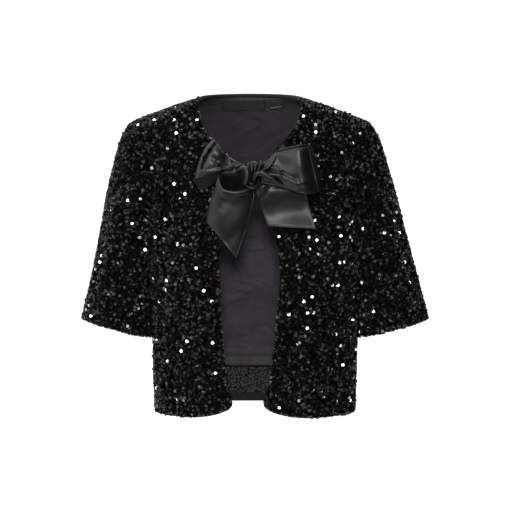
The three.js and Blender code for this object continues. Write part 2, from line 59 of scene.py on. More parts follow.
# Degrees, drift, half width in degrees, height, top, bottom. The CAD has the first thirteen.
BODY_FOLDS = [
    (-36, 3, 9, 3.6, -42, -215), (-49, 3, 8, -2.4, -60, -260), (-58, -4, 11, 2.6, -230, -540),
    (-28, -3, 11, 2.2, -300, -560), (-145, -4, 9, 2.8, -50, -240), (-131, 2, 9, -2.2, -110, -330),
    (-118, 5, 10, 2.4, -250, -560), (-150, 3, 12, 2.4, -330, -560), (44, 4, 11, 3, -60, -300),
    (136, -5, 11, 2.6, -80, -340), (68, -3, 12, 2.8, -260, -560), (104, 4, 13, 2.2, -200, -560),
    (128, 3, 10, -2.2, -320, -560), (-17, 0, 17, 4, -170, -560), (-163, 0, 17, 4, -170, -560),
    (-24, 6, 5, 1.4, -70, -190), (-43, -5, 4, 1.2, -210, -330), (-66, 3, 5, -1.1, -120, -250),
    (-72, -4, 6, 1.3, -330, -470), (-40, 4, 5, -1.2, -360, -540), (-15, 3, 5, 1.3, -230, -380),
    (-152, -6, 5, 1.4, -80, -210), (-136, 4, 4, 1.2, -190, -310), (-112, -3, 5, -1.1, -130, -270),
    (-107, 4, 6, 1.2, -310, -450), (-140, -4, 5, -1.3, -380, -540), (-165, -3, 5, 1.2, -220, -360),
    (28, 5, 5, 1.2, -90, -230), (57, -4, 5, -1.2, -150, -280), (81, 3, 6, 1.3, -120, -210),
    (94, -5, 5, -1.1, -330, -500), (118, 4, 5, 1.2, -140, -300), (150, -4, 6, 1.2, -210, -390),
    (34, 3, 6, 1.3, -360, -540), (76, 5, 5, 1.1, -60, -110),
]


def smooth(t):
    """Soft step from 0 to 1: 3 times the square less 2 times the cube."""
    k = np.clip(t, 0, 1)
    return k * k * (3 - 2 * k)


def mix(a, b, t):
    """Value a share t of the way from a to b."""
    return a + (b - a) * t


def power(value, exponent):
    """Power of a value's size, with the value's sign."""
    return np.sign(value) * np.abs(value) ** exponent


def unit(v):
    """Vectors divided by their length."""
    return v / np.maximum(np.linalg.norm(v, axis=-1, keepdims=True), 1e-9)


def curve(x, y, place):
    """Cubic in each span between points; the slope at a point is that between the two beside it."""
    k = np.arange(len(x))
    before, after = np.maximum(k - 1, 0), np.minimum(k + 1, len(x) - 1)
    wide = (...,) + (None,) * (y.ndim - 1)
    slope = (y[after] - y[before]) / (x[after] - x[before])[wide]
    p = np.clip(place, x[0], x[-1])
    i = np.clip(np.searchsorted(x, p) - 1, 0, len(x) - 2)
    step = (x[i + 1] - x[i])[wide]
    u = (p - x[i])[wide] / step
    return (y[i] * (1 + 2 * u) * (1 - u) ** 2 + slope[i] * step * u * (1 - u) ** 2
            + y[i + 1] * u * u * (3 - 2 * u) - slope[i + 1] * step * u * u * (1 - u))


def read(rows, column, place):
    """Column of a table at a place in its first column, on the curve through the rows."""
    t = np.asarray(rows, float)
    if t[-1, 0] < t[0, 0]:
        t = t[::-1]
    return curve(t[:, 0], t[:, column], place)


def folds(rows, deg, place, along):
    """Sum of folds: each a raised cosine across its width that fades in and out along its length."""
    total = np.zeros(np.broadcast(deg, place).shape)
    for middle, drift, wide, high, top, bottom in rows:
        t = (place - top) / (bottom - top)
        across = np.clip((deg - middle - drift * (t - 0.5)) / wide, -1, 1)
        total += high * 0.5 * (1 + np.cos(np.pi * across)) * smooth(t * along) * smooth((1 - t) * along)
    return total


def lean(z):
    """Sideways shift of the body, a soft step: it stands a little to the wearer's left below."""
    return LEAN["aside"] * smooth((LEAN["top"] - z) / LEAN["long"])


def plain_body(deg, z):
    """Rounded section: width and depth by powers of the cosine and sine of the degrees."""
    depth = np.where(deg > 0, read(BODY, 3, z), read(BODY, 2, z))
    turn = np.radians(deg)
    return np.stack(np.broadcast_arrays(
        lean(z) + read(BODY, 1, z) * power(np.cos(turn), 2 / SQUARENESS),
        depth * power(np.sin(turn), 2 / SQUARENESS), z + 0.0 * turn), axis=-1)


def body(deg, z):
    """Point and plain normal of the body; the folds and creases raise the point along the normal."""
    around = plain_body(deg + 0.5, z) - plain_body(deg - 0.5, z)
    up = plain_body(deg, z + 0.5) - plain_body(deg, z - 0.5)
    normal = unit(np.cross(around, up))
    lift = folds(BODY_FOLDS, deg, z, 3)
    return plain_body(deg, z) + normal * lift[..., None], normal


def side_degrees(z, depth):
    """Degrees from the side to a panel's edge: half a seam, or the armhole's ellipse where that is more."""
    seam = np.degrees(np.arcsin((SEAM / 2 / depth) ** (SQUARENESS / 2)))
    rise = np.clip((z - ARM_MID_Z) / ARM_HALF, -1, 1)
    return np.maximum(ARM_DEG * np.sqrt(1 - rise * rise), seam)


def levels(lowest, below=60, arm=40, above=12):
    """Heights of a panel's rows: even, but by a cosine at the armhole. None is within half a mm of an end."""
    parts = np.r_[np.linspace(HEM_Z, ARMPIT, below, endpoint=False),
                  ARM_MID_Z - ARM_HALF * np.cos(np.linspace(0, np.pi, arm, endpoint=False)),
                  np.linspace(SHOULDER, NECK_Z, above)]
    inside = parts[(parts > lowest + 0.5) & (parts < NECK_Z - 0.5)]
    return np.r_[lowest, inside, NECK_Z][:, None]


def evened(level, share):
    """Height of a row away from the armhole: the cosine undone, so that the rows are evenly spaced."""
    t = (level - ARM_MID_Z) / ARM_HALF
    even = ARM_MID_Z + ARM_HALF * (1 - 2 * np.arccos(np.clip(t, -1, 1)) / np.pi)
    return np.where(np.abs(t) >= 1, level, mix(level, even, share))


def column_degrees(side, edge, share):
    """Degrees of a column: a share of the edge's, and the side's by the square of the rest."""
    return edge * share + side * (1 - share) ** 2


def neck_edge(deg):
    """Rise of the back neck's edge towards its middle, by a power of the sine."""
    return NECK_RISE * np.sin(np.radians(deg)) ** 0.6


def back_grid(lowest, columns=110):
    """Back panel from its lowest row to the neck edge, and from the left side to the right."""
    level = levels(lowest)
    c = np.linspace(0, 1, columns + 1)[None, :]
    side = side_degrees(level, read(BODY, 3, level))
    share = 1 - np.abs(1 - 2 * c)
    near = column_degrees(side, 90, share)
    deg = np.where(c <= 0.5, near, 180 - near)
    return body(deg, evened(level, share) + neck_edge(deg) * np.maximum(0, 1 - level / SHOULDER))


def linear(code):
    """Linear colour of an sRGB hex code, with alpha."""
    parts = [int(code[i:i + 2], 16) / 255 for i in (1, 3, 5)]
    return [c / 12.92 if c <= 0.04045 else ((c + 0.055) / 1.055) ** 2.4 for c in parts] + [1.0]


def add_node(tree, kind, inputs=None, **settings):
    """Node with its settings; each input is a value or a socket to link from."""
    made = tree.nodes.new(kind)
    for key, value in settings.items():
        setattr(made, key, value)
    for key, value in (inputs or {}).items():
        if isinstance(value, bpy.types.NodeSocket):
            tree.links.new(value, made.inputs[key])
        else:
            made.inputs[key].default_value = value
    return made


def two_tone(name, low, high, mm=None, coordinate="Object", detail=3.0, reach=0.15, **sockets):
    """New material, its base colour from low to high by a noise with patches of so many mm or by faces' tone.

    The noise's scale is one over the patch in metres. The colour turns over a reach about the middle value.
    """
    made = bpy.data.materials.new(name)
    made.use_nodes = True
    tree = made.node_tree
    shader = tree.nodes["Principled BSDF"]
    for key, value in sockets.items():
        shader.inputs[key.replace("_", " ")].default_value = value
    place = add_node(tree, "ShaderNodeTexCoord").outputs[coordinate] if mm else None
    if mm:
        patches = {"Vector": place, "Scale": 1 / (mm * MM), "Detail": detail}
        driver = add_node(tree, "ShaderNodeTexNoise", patches)
    else:
        driver = add_node(tree, "ShaderNodeAttribute", attribute_name="tone")
    ramp = add_node(tree, "ShaderNodeValToRGB", {"Fac": driver.outputs["Fac"]})
    for end, side, code in zip(ramp.color_ramp.elements, (-1, 1), (low, high)):
        end.position, end.color = 0.5 + side * reach, linear(code)
    tree.links.new(ramp.outputs["Color"], shader.inputs["Base Color"])
    return made, tree, shader, place


def piece(name, corners, faces, materials, index=None, uv=None, tone=None):
    """Object at the origin from corners in millimetres and an array of faces of one kind."""
    faces = np.asarray(faces, np.int32)
    mesh = bpy.data.meshes.new(name)
    mesh.vertices.add(len(corners))
    mesh.vertices.foreach_set("co", (np.asarray(corners) * MM).astype(np.float32).ravel())
    mesh.loops.add(faces.size)
    mesh.loops.foreach_set("vertex_index", faces.ravel())
    mesh.polygons.add(len(faces))
    mesh.polygons.foreach_set("loop_start", np.arange(0, faces.size, faces.shape[1], dtype=np.int32))
    for each in materials:
        mesh.materials.append(each)
    if index is not None:
        mesh.polygons.foreach_set("material_index", np.asarray(index, np.int32))
    if uv is not None:
        layer = mesh.uv_layers.new(name="UVMap")
        layer.uv.foreach_set("vector", np.asarray(uv, np.float32)[faces.ravel()].ravel())
    if tone is not None:
        layer = mesh.attributes.new("tone", "FLOAT", "FACE")
        layer.data.foreach_set("value", np.asarray(tone, np.float32))
    mesh.polygons.foreach_set("use_smooth", np.ones(len(faces), bool))
    mesh.update(calc_edges=True)
    made = bpy.data.objects.new(name, mesh)
    bpy.context.scene.collection.objects.link(made)
    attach(made, "root")
    return made


def arc(points, axis):
    """Distance run along one axis of a grid, in metres: the sum of the steps so far."""
    steps = np.linalg.norm(np.diff(points, axis=axis), axis=2)
    pad = [(0, 0), (0, 0)]
    pad[axis] = (1, 0)
    return np.pad(np.cumsum(steps, axis=axis), pad) * MM


def quads(rows, columns, joined=False):
    """Four-cornered faces of a grid of corners; in a joined one the last column meets the first."""
    r, c = np.meshgrid(np.arange(rows - 1), np.arange(columns if joined else columns - 1), indexing="ij")
    n = (c + 1) % columns
    upper, lower = r * columns, (r + 1) * columns
    return np.stack([upper + c, upper + n, lower + n, lower + c], axis=2).reshape(-1, 4)


def outward(corners, faces):
    """Faces, turned round where the volume that they enclose comes out negative."""
    one = corners[faces[:, 2]] - corners[faces[:, 0]]
    two = corners[faces[:, 3]] - corners[faces[:, 1]]
    enclosed = (corners[faces].mean(axis=1) * np.cross(one, two)).sum()
    return faces if enclosed > 0 else faces[:, ::-1]


def wall(name, points, normals, thick, materials, out=0.0, tube=False, slot=None):
    """Closed wall: a grid moved out along its normals, the same less the thickness, and a rim between."""
    rows, columns = points.shape[:2]
    deeper = rows * columns
    corners = np.concatenate([(points + normals * lift).reshape(-1, 3) for lift in (out, out - thick)])
    laid = np.stack([arc(points, 1), arc(points, 0)], axis=2).reshape(-1, 2)
    outer = quads(rows, columns, tube)
    inner = outer[:, ::-1] + deeper
    k = np.arange(columns if tube else columns - 1)
    last = deeper - columns
    lines = [(k, (k + 1) % columns, False), (last + k, last + (k + 1) % columns, True)]
    if not tube:
        k = np.arange(rows - 1) * columns
        lines += [(k, k + columns, True), (k + columns - 1, k + 2 * columns - 1, False)]
    rim = []
    for p, q, turned in lines:
        strip = np.stack([p, p + deeper, q + deeper, q], axis=1)
        rim.append(strip[:, ::-1] if turned else strip)
    rim = np.concatenate(rim)
    faces = outward(corners, np.concatenate([outer, inner, rim]))
    index = np.r_[np.zeros(len(outer)), np.full(len(inner), len(materials) - 1), np.zeros(len(rim))]
    return piece(name, corners, faces, materials, index, np.concatenate([laid, laid]))


# Discs, and the net, which lies below the outside of the CAD's wall; the discs fill the rest.
SEED = 11
random = np.random.default_rng(SEED)
SEQUIN = {"across": 5.0, "sides": 8, "pitch": 2.4, "jitter": 0.3}
NET = {"out": -1.8, "thick": 0.4}
# In close order each row lies this share of the pitch from the next.
PACKED = 0.866
# Most discs stand on edge among their neighbours. One in fourteen lies flat on top of them, and one in 140
# hangs quite loose, further out, and faces forward or back, turned a little up. Tilts are tangents.
TILT = {"most": 1.3, "flat": 0.36, "flat_share": 0.07, "loose": 0.055, "loose_share": 0.007, "up": 0.185}
LIFT = {"least": 0.3, "spread": 1.6, "flat": 2.2, "loose": 1.32}

# Sequins punched from black polyester film: near mirror gloss gives the glints. A few are a little browner.
sequin_plastic, *_ = two_tone("sequin_plastic", "#0d0d0d", "#2c281f", reach=0.5, Roughness=0.12,
                              Specular_IOR_Level=0.58)

# Knitted nylon net under the sequins: matt black, almost hidden. Its cells are drawn 2.5 mm wide.
sequin_net, *_ = two_tone("sequin_net", "#040404", "#0d0d0c", 2.5, Roughness=0.8, Specular_IOR_Level=0.2)

# Back of the net with the knots of the sewing thread: a dull charcoal speckle. The knots lie 2.4 mm apart and
# are drawn 3.33 and 3.03 mm apart, to show.
cloth_back, tree, shader, place = two_tone("sequin_cloth_back", "#000000", "#4a4749", 3.33333, detail=1.0,
                                           reach=0.07, Roughness=0.75, Specular_IOR_Level=0.3)
knots = add_node(tree, "ShaderNodeTexNoise", {"Vector": place, "Scale": 1 / (3.0303 * MM), "Detail": 1.0})
bump = add_node(tree, "ShaderNodeBump", {"Height": knots.outputs["Fac"], "Strength": 1.0, "Distance": 0.003})
tree.links.new(bump.outputs["Normal"], shader.inputs["Normal"])


def facing(points):
    """Unit normals of a grid of points: rows' direction crossed with columns' direction."""
    return unit(np.cross(np.gradient(points, axis=1), np.gradient(points, axis=0)))


def at_places(grid, row, column):
    """Values of a grid between its points: the mean of the four nearest, each by its nearness."""
    r0 = np.clip(row.astype(int), 0, grid.shape[0] - 2)
    c0 = np.clip(column.astype(int), 0, grid.shape[1] - 2)
    r, c = (row - r0)[:, None], (column - c0)[:, None]
    return (grid[r0, c0] * (1 - r) * (1 - c) + grid[r0, c0 + 1] * (1 - r) * c
            + grid[r0 + 1, c0] * r * (1 - c) + grid[r0 + 1, c0 + 1] * r * c)


def even_places(points, pitch):
    """Places over a grid: strips of rows cut into cells of equal area, and each place moved a little."""
    crossed = np.cross(points[1:, 1:] - points[:-1, :-1], points[1:, :-1] - points[:-1, 1:])
    down = np.pad(np.cumsum(0.5 * np.linalg.norm(crossed, axis=2), axis=0), ((1, 0), (0, 0)))
    steps = np.linalg.norm(np.diff(points, axis=0), axis=2).mean(axis=1)
    run = np.r_[0, np.cumsum(steps)]
    strips = max(1, round(run[-1] / (pitch * PACKED)))
    edges = np.interp(np.linspace(0, run[-1], strips + 1), run, np.arange(len(run)))
    floor = np.clip(edges.astype(int), 0, len(run) - 2)
    share = (edges - floor)[:, None]
    reached = down[floor] * (1 - share) + down[floor + 1] * share
    rows, columns = [], []
    for k, cell in enumerate(np.diff(reached, axis=0)):
        across = np.r_[0, np.cumsum(cell)]
        count = max(1, round(across[-1] / (pitch * pitch * PACKED)))
        moved = random.uniform(-SEQUIN["jitter"], SEQUIN["jitter"], (2, count))
        goal = (np.arange(count) + 0.25 + 0.5 * (k % 2) + moved[0]) / count
        columns.append(np.interp(np.clip(goal, 0, 1) * across[-1], across, np.arange(len(across))))
        rows.append((edges[k] + edges[k + 1]) / 2 + (edges[k + 1] - edges[k]) * moved[1])
    return np.concatenate(rows), np.concatenate(columns)


def sequins(name, points, normals, pitch, bare):
    """Discs over a grid: circles by cosine and sine, tilted at random and lifted until they clear the net."""
    row, column = even_places(points, pitch)
    above_hem = at_places(arc(points, 0)[..., None], row, column)[:, 0] > bare * MM
    row, column = row[above_hem], column[above_hem]
    normal, plain, middle = (at_places(each, row, column) for each in (facing(points), normals, points))
    outside = unit(normal) * np.sign((normal * plain).sum())
    first = unit(np.cross(outside, [0.0, 0.0, 1.0]))
    second = np.cross(outside, first)
    kind = random.uniform(0, 1, (len(row), 1))
    loose, flat = kind < TILT["loose_share"], kind < TILT["flat_share"]
    spread_by = np.where(loose, TILT["loose"], np.where(flat, TILT["flat"], TILT["most"]))
    lean_by = random.normal(0, 1, (2, len(row), 1)) * spread_by
    level = np.sign(outside[:, 1:2]) * [0.0, 1.0, 0.0] + [0.0, 0.0, TILT["up"]]
    tilted = unit(np.where(loose, level, outside) + first * lean_by[0] + second * lean_by[1])
    one = unit(np.cross(tilted, second))
    two = np.cross(tilted, one)
    radius = SEQUIN["across"] / 2
    steep = np.hypot(*lean_by) / np.sqrt(1 + (lean_by ** 2).sum(axis=0))
    lift = NET["out"] + LIFT["least"] + radius * steep + random.uniform(0, LIFT["spread"], (len(row), 1))
    middle = middle + outside * (lift + flat * LIFT["flat"] + loose * LIFT["loose"])
    turn = (2 * np.pi * np.arange(SEQUIN["sides"]) / SEQUIN["sides"])[None, :, None]
    corners = middle[:, None] + radius * (np.cos(turn) * one[:, None] + np.sin(turn) * two[:, None])
    faces = np.arange(len(row) * SEQUIN["sides"]).reshape(-1, SEQUIN["sides"])
    tones = random.uniform(0, 1, len(row)) ** 3
    return piece(name, corners.reshape(-1, 3), faces, [sequin_plastic], tone=tones)


def sewn_panel(node, grid, pitch=SEQUIN["pitch"], tube=False, bare=0.0):
    """Panel of sequinned cloth: its wall stands for the CAD node, and its sequins are a piece on it."""
    materials = [sequin_net, cloth_back]
    cloth = wall(node + "_cloth", *grid, NET["thick"], materials, NET["out"], tube, "sequin_cloth")
    if tube:
        grid = [np.concatenate([each, each[:, :1]], axis=1) for each in grid]
    discs = sequins(node + "_sequins", *grid, pitch, bare)
    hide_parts(node)


sewn_panel("back", back_grid(HEM_Z), pitch=2.85, bare=3.2)

# Fronts
# Two panels of the same sequinned cloth, edge to edge at the neck, open below and rounded at the hem. They
# are sewn to the back at the shoulders and sides, and nothing lines them.
CORNER = {"wide": 88, "high": 26, "top": -439}
# z, right front edge, left front edge
FRONT_EDGE = [
    (0, -83.2, 83.2), (-18, -79.8, 80), (-35, -75.8, 74.5), (-48, -68.3, 66), (-60, -57.3, 55),
    (-80, -38, 36), (-105, -19, 19), (-150, -30, 28), (-205, -43, 40), (-243, -48, 46.5), (-285, -46.6, 47),
    (-342, -45, 41.5), (-393, -41, 36.7), (-435, -35.5, 31.5), (-473, -27.5, 21.5), (-500, -27, 21),
]


def degrees_at(x, z):
    """Degrees at which the body crosses a plane of constant X: its width's power, turned back."""
    share = np.clip((x - lean(z)) / read(BODY, 1, z), -1, 1)
    return np.degrees(np.arccos(power(share, SQUARENESS / 2)))


def front_grid(side, columns=64, closer=1.4):
    """Front panel from its side seam to its front edge. A quarter circle turns up the hem's corner."""
    column = 2 if side == "left" else 1
    level = levels(HEM_Z)
    share = 1 - (1 - np.linspace(0, 1, columns + 1)[None, :]) ** closer
    seam = side_degrees(level, read(BODY, 2, level))

    def place(z):
        edge = degrees_at(read(FRONT_EDGE, column, z), z)
        if side == "left":
            return column_degrees(seam, edge, share)
        return 180 - column_degrees(seam, 180 - edge, share)

    hem = np.full_like(level, HEM_Z)
    bottom = plain_body(-place(hem), hem + 0 * share)[..., 0]
    inset = np.abs(bottom - read(FRONT_EDGE, column, HEM_Z)) / CORNER["wide"]
    turn_up = CORNER["high"] * (1 - np.sqrt(1 - np.maximum(0, 1 - inset) ** 2))
    raised = level + turn_up * (CORNER["top"] - level) / (CORNER["top"] - HEM_Z)
    z = np.where(level < CORNER["top"], raised, evened(level, share))
    return body(-place(z), z)


sewn_panel("front_left", front_grid("left"), bare=1.4)
sewn_panel("front_right", front_grid("right"), bare=1.4)

# Sleeves
# Half length and flared, of the same sequinned cloth. Each is a tube, set in at the armhole, and its inside
# shows the back of the cloth.
# Row, outer x, outer z, inner x, inner z, half depth
SLEEVE = [
    (0, 190, -40, 169.7, -199.7, 50), (1, 195.5, -48, 172.4, -196.6, 51), (2, 204, -66, 174.8, -199.5, 52),
    (3, 211, -87, 173.6, -211, 53), (4, 218, -112, 171.2, -227, 54), (5, 228, -150, 169, -252, 54),
    (6, 236.5, -190, 166.9, -279, 53), (7, 247, -236, 164.7, -309, 52), (8, 259.5, -288, 162.6, -342, 50),
    (9, 271, -332, 161.2, -368, 48), (10, 275, -350, 160.9, -378.5, 47),
]
LAST_ROW = SLEEVE[-1][0]
# Degrees, drift, half width in degrees, height, first row, last row. The CAD has the first five of each side.
SLEEVE_FOLDS = {
    "left": [(300, 8, 24, 3.4, 0.6, 6), (325, -6, 22, -2.4, 2.5, 12), (236, -58, 15, 3.6, 3, 11.5),
             (62, 6, 26, 2.8, 1, 9), (108, -8, 26, 2.6, 4, 12), (222, 0, 42, 6, 1.2, 14),
             (282, -8, 11, 1.5, 1, 4.5), (312, 10, 12, 1.3, 5, 9.5), (345, 6, 12, -1.3, 2, 6),
             (262, 8, 10, -1.3, 6, 12), (40, 8, 12, 1.3, 3, 8), (85, -8, 12, -1.3, 2, 7),
             (140, 8, 14, 1.3, 5, 12)],
    "right": [(295, 10, 24, 3, 1, 8), (330, -6, 22, -2.2, 3, 12), (248, -12, 26, 3, 4, 12.5),
              (70, 8, 26, 2.8, 1, 8.5), (118, -8, 26, 2.6, 3.5, 12), (222, 0, 42, 6, 1.2, 14),
              (276, 8, 11, 1.4, 1, 5), (308, -10, 12, 1.3, 4, 9), (350, -6, 12, -1.3, 1.5, 6),
              (226, 8, 10, -1.2, 6, 12), (36, -8, 12, 1.3, 2, 7), (92, 8, 12, -1.3, 3, 8),
              (146, -8, 14, 1.3, 4, 12)],
}


def armhole(side, turn):
    """Point and normal of the body on the armhole's ellipse, moved in from the panels' edge by a seam."""
    z = ARM_MID_Z + (ARM_HALF - ARM_SEAM) * np.cos(np.radians(turn))
    deg = (ARM_DEG - ARM_SEAM) * np.sin(np.radians(turn))
    return body(deg if side == "left" else np.where(deg < 0, -180, 180) - deg, z)


def plain_sleeve(side, turn, row):
    """Ring between the sleeve's outer and inner lines. The armhole's own shape fades out by a cube."""
    half = 1 if side == "left" else -1

    def section(at):
        swing = 0.5 + np.cos(np.radians(turn)) / 2
        x = mix(read(SLEEVE, 3, at), read(SLEEVE, 1, at), swing)
        z = mix(read(SLEEVE, 4, at), read(SLEEVE, 2, at), swing)
        y = read(SLEEVE, 5, at) * np.sin(np.radians(turn))
        return np.stack(np.broadcast_arrays(lean(z) + half * x, y, z), axis=-1)

    fade = (1 - np.maximum(row, 0) / LAST_ROW) ** 3
    return section(row) + fade[..., None] * (armhole(side, turn)[0] - section(0 * row))


def sleeve_grid(side, rings=72, columns=100, closer=1.15):
    """Tube of rings from the armhole to the hem, raised along its normals by folds and creases."""
    row = (LAST_ROW * np.linspace(0, 1, rings + 1) ** closer)[:, None]
    turn = np.linspace(0, 360, columns, endpoint=False)[None, :]
    around = plain_sleeve(side, turn + 1, row) - plain_sleeve(side, turn - 1, row)
    down = plain_sleeve(side, turn, row + 0.05) - plain_sleeve(side, turn, row - 0.05)
    normal = unit(np.cross(down, around) if side == "left" else np.cross(around, down))
    lift = folds(SLEEVE_FOLDS[side], turn, row, 2.5)
    points = plain_sleeve(side, turn, row) + normal * lift[..., None]
    points[0], normal[0] = (x[0] for x in armhole(side, turn))
    return points, normal


sewn_panel("sleeve_left", sleeve_grid("left"), tube=True)
sewn_panel("sleeve_right", sleeve_grid("right"), tube=True)

# Lining of the back
# Smooth charcoal lining from the neck to 59 mm above the hem. Its own hem is turned up, with a small pleat in
# the middle, and sewn to the net with one row of stitches. A black strip of net just below it is a painted
# shadow under the hem.
LINING, LINING_HEM_Z = 1, -439
# Height above the hem, and how far the lining stands off: a soft roll at the fold, a dip at the stitches
HEM_ROLL = [
    (0, 0.1), (0.7, 1.4), (1.4, 2.6), (2.1, 3.2), (3, 3.3), (4.5, 2.9), (7, 2.3), (10, 1.9), (14, 1.5),
    (16.5, 0.9), (17.5, -0.3), (18.5, 1.1), (21, 1.1), (26, 0.5), (34, 0),
]
# Where the pleat ends, how far it stands out, how soon it fades to the right, its top, and how soft both are
PLEAT = {"x": -2.7, "out": 1.1, "fade": 30, "top": 17.5, "soft_x": 2.5, "soft_z": 2}
STITCH = {"above": 17.5, "long": 3.0, "gap": 1.2, "thick": 0.45, "off": 0.1, "sides": 6}
# Black strip of net just below the lining's hem: a painted shadow under the hem
HEM_PAINTED_SHADOW_STRIP = {"low": LINING_HEM_Z - 2.6, "high": LINING_HEM_Z + 1.5, "thick": 0.3}


def woven(tree, shader, place, mm, direction, strength, high, distortion=0.0, detail=2.0, **bump):
    """Relief of threads so many millimetres apart: a wave, with bands 2 pi / 20 metres apart at scale 1."""
    scale = 2 * np.pi / 20 / (mm * MM)
    wave = add_node(tree, "ShaderNodeTexWave", {"Vector": place, "Scale": scale, "Distortion": distortion,
                                                "Detail": detail}, bands_direction=direction)
    made = add_node(tree, "ShaderNodeBump", {"Height": wave.outputs["Fac"], "Strength": strength,
                                             "Distance": high * MM, **bump})
    tree.links.new(made.outputs["Normal"], shader.inputs["Normal"])


# Acetate lining, woven as a satin: a low soft sheen with faint crumples. Its threads lie 0.1 mm apart and are
# drawn 0.45 mm apart, so that they spread the sheen. Crumples are 45 mm long, and patches of colour 33 mm.
lining_cloth, tree, shader, place = two_tone("lining_satin_weave", "#342f35", "#3d383e", 33.333, "UV", 2.0,
                                             Roughness=0.5, Specular_IOR_Level=0.3)
crumple = add_node(tree, "ShaderNodeTexNoise", {"Vector": place, "Scale": 1 / (45.455 * MM), "Detail": 3.0,
                                                "Distortion": 0.6})
soft = add_node(tree, "ShaderNodeBump", {"Height": crumple.outputs["Fac"], "Strength": 0.6,
                                         "Distance": 0.006})
woven(tree, shader, place, 0.449, "DIAGONAL", 0.15, 0.2, 1.0, 1.0, Normal=soft.outputs["Normal"])

# Spun polyester thread, dull and nearly black: its stitches read as a dark dotted line in changing shades.
thread, *_ = two_tone("sewing_thread", "#1c1a1c", "#2a272a", 3.33333, Roughness=0.6)


def lining_grid():
    """Back lining, moved in along its normals by the roll of the hem and by the pleat, a fading soft step."""
    points, normals = back_grid(LINING_HEM_Z)
    up = arc(points, 0).mean(axis=1) / MM
    height = np.r_[[row[0] for row in HEM_ROLL], up[up > HEM_ROLL[-1][0]]]
    row = np.interp(height, up, np.arange(len(up)))
    r, c = np.meshgrid(row, np.arange(points.shape[1]), indexing="ij")
    taken = (at_places(each, r.ravel(), c.ravel()) for each in (points, normals))
    points, normals = (each.reshape(*r.shape, 3) for each in taken)
    beside = PLEAT["x"] - points[..., 0]
    pleat = smooth(beside / PLEAT["soft_x"] + 0.5) * np.exp(-np.maximum(0, beside) / PLEAT["fade"])
    pleat *= smooth((PLEAT["top"] - height) / PLEAT["soft_z"])[:, None]
    roll_out = np.interp(height, *np.transpose(HEM_ROLL))[:, None] + PLEAT["out"] * pleat
    return points - normals * roll_out[..., None], unit(normals)


def back_strip(low, high, rows=9, columns=150):
    """Strip of the back panel from side to side between two heights; at the neck it follows the edge."""
    side = side_degrees(HEM_Z, read(BODY, 3, NECK_Z))
    deg = mix(side, 180 - side, np.linspace(0, 1, columns + 1)[None, :])
    rise = neck_edge(deg) if low > NECK_Z else 0 * deg
    return body(deg, rise + np.linspace(low, high, rows)[:, None])


def stitches(name, path, outside, material):
    """Row of stitches along a path of points: each a slim bar of six sides, drawn to a point at both ends."""
    run = np.r_[0, np.cumsum(np.linalg.norm(np.diff(path, axis=0), axis=1))]
    step = STITCH["long"] + STITCH["gap"]
    starts = np.arange(step / 2, run[-1] - step, step)
    rings, full = np.array([0, 0.2, 0.8, 1]), np.array([0, 1, 1, 0])
    places = starts[:, None] + STITCH["long"] * rings
    middle, lifted = (np.stack([np.interp(places, run, each[:, k]) for k in range(3)], axis=-1)
                      for each in (path, outside))
    aside = np.cross(unit(middle[:, 3:] - middle[:, :1]), lifted)
    turn = np.linspace(0, 2 * np.pi, STITCH["sides"], endpoint=False)[None, None, :, None]
    wide = STITCH["thick"] / 2 * full[None, :, None, None]
    aside, lifted = aside[:, :, None], lifted[:, :, None]
    corners = middle[:, :, None] + wide * (np.cos(turn) * aside + np.sin(turn) * lifted)
    first = np.arange(len(starts)) * len(rings) * STITCH["sides"]
    faces = (quads(len(rings), STITCH["sides"], True)[None] + first[:, None, None]).reshape(-1, 4)
    corners = corners.reshape(-1, 3)
    return piece(name, corners, outward(corners, faces), [material])


points, normals = lining_grid()
lining = wall("lining", points, normals, LINING, [lining_cloth], out=-CLOTH - SEAM, slot="lining")
k = [row[0] for row in HEM_ROLL].index(STITCH["above"])
sewn_at = points[k] - normals[k] * (CLOTH + SEAM + LINING + STITCH["off"])
hem_stitches = stitches("lining_hem_stitches", sewn_at, normals[k], thread)
# Black strip below the lining's hem, standing in for its shadow: painted shade
hem_painted_shadow_strip = wall("hem_painted_shadow_strip", *back_strip(HEM_PAINTED_SHADOW_STRIP["low"], HEM_PAINTED_SHADOW_STRIP["high"]), HEM_PAINTED_SHADOW_STRIP["thick"], [sequin_net],
                out=-CLOTH - SEAM, slot="sequin_cloth")
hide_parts("lining_back")

# Hem tape
# Smooth black band, 12.5 mm wide, sewn flat inside the back hem from side seam to side seam.
# It covers the edge of the net.
TAPE = {"low": HEM_Z + 1, "high": HEM_Z + 13.5}

# Cotton tape in twill: black, almost without gloss. Ribs lie 0.75 mm apart, and patches of shade 17 mm.
tape_cloth, tree, shader, place = two_tone("tape_twill", "#100f0f", "#1c1b1a", 16.667, "UV", Roughness=0.65,
                                           Specular_IOR_Level=0.3)
woven(tree, shader, place, 0.748, "DIAGONAL", 0.3, 0.3, 0.5)

tape = wall("hem_tape", *back_strip(TAPE["low"], TAPE["high"]), LINING, [tape_cloth], out=-CLOTH - SEAM,
            slot="tape")
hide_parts("hem_tape_back")

# Neck binding
# Narrow strip of the same tape, folded over the raw edges of cloth and lining along the back neck and sewn
# down. In section it is a rounded oblong.
# Half width, half height, and how far its middle lies in from the neck edge and above it
BINDING = {"wide": 2.3, "high": 3.2, "inward": 1.7, "above": 1.75, "square": 0.7, "sides": 16}


def closed_tube(rings):
    """Corners and faces of a tube through rings of an even number of points, with a fan at each end."""
    count, sides = rings.shape[:2]
    corners = np.concatenate([rings.reshape(-1, 3), rings[[0, -1]].mean(axis=1)])
    k = np.arange(0, sides, 2)
    last = (count - 1) * sides
    pole = np.full(len(k), count * sides)
    near = np.stack([pole, (k + 2) % sides, k + 1, k], axis=1)
    far = np.stack([pole + 1, last + k, last + k + 1, last + (k + 2) % sides], axis=1)
    return corners, outward(corners, np.concatenate([quads(count, sides, True), near, far]))


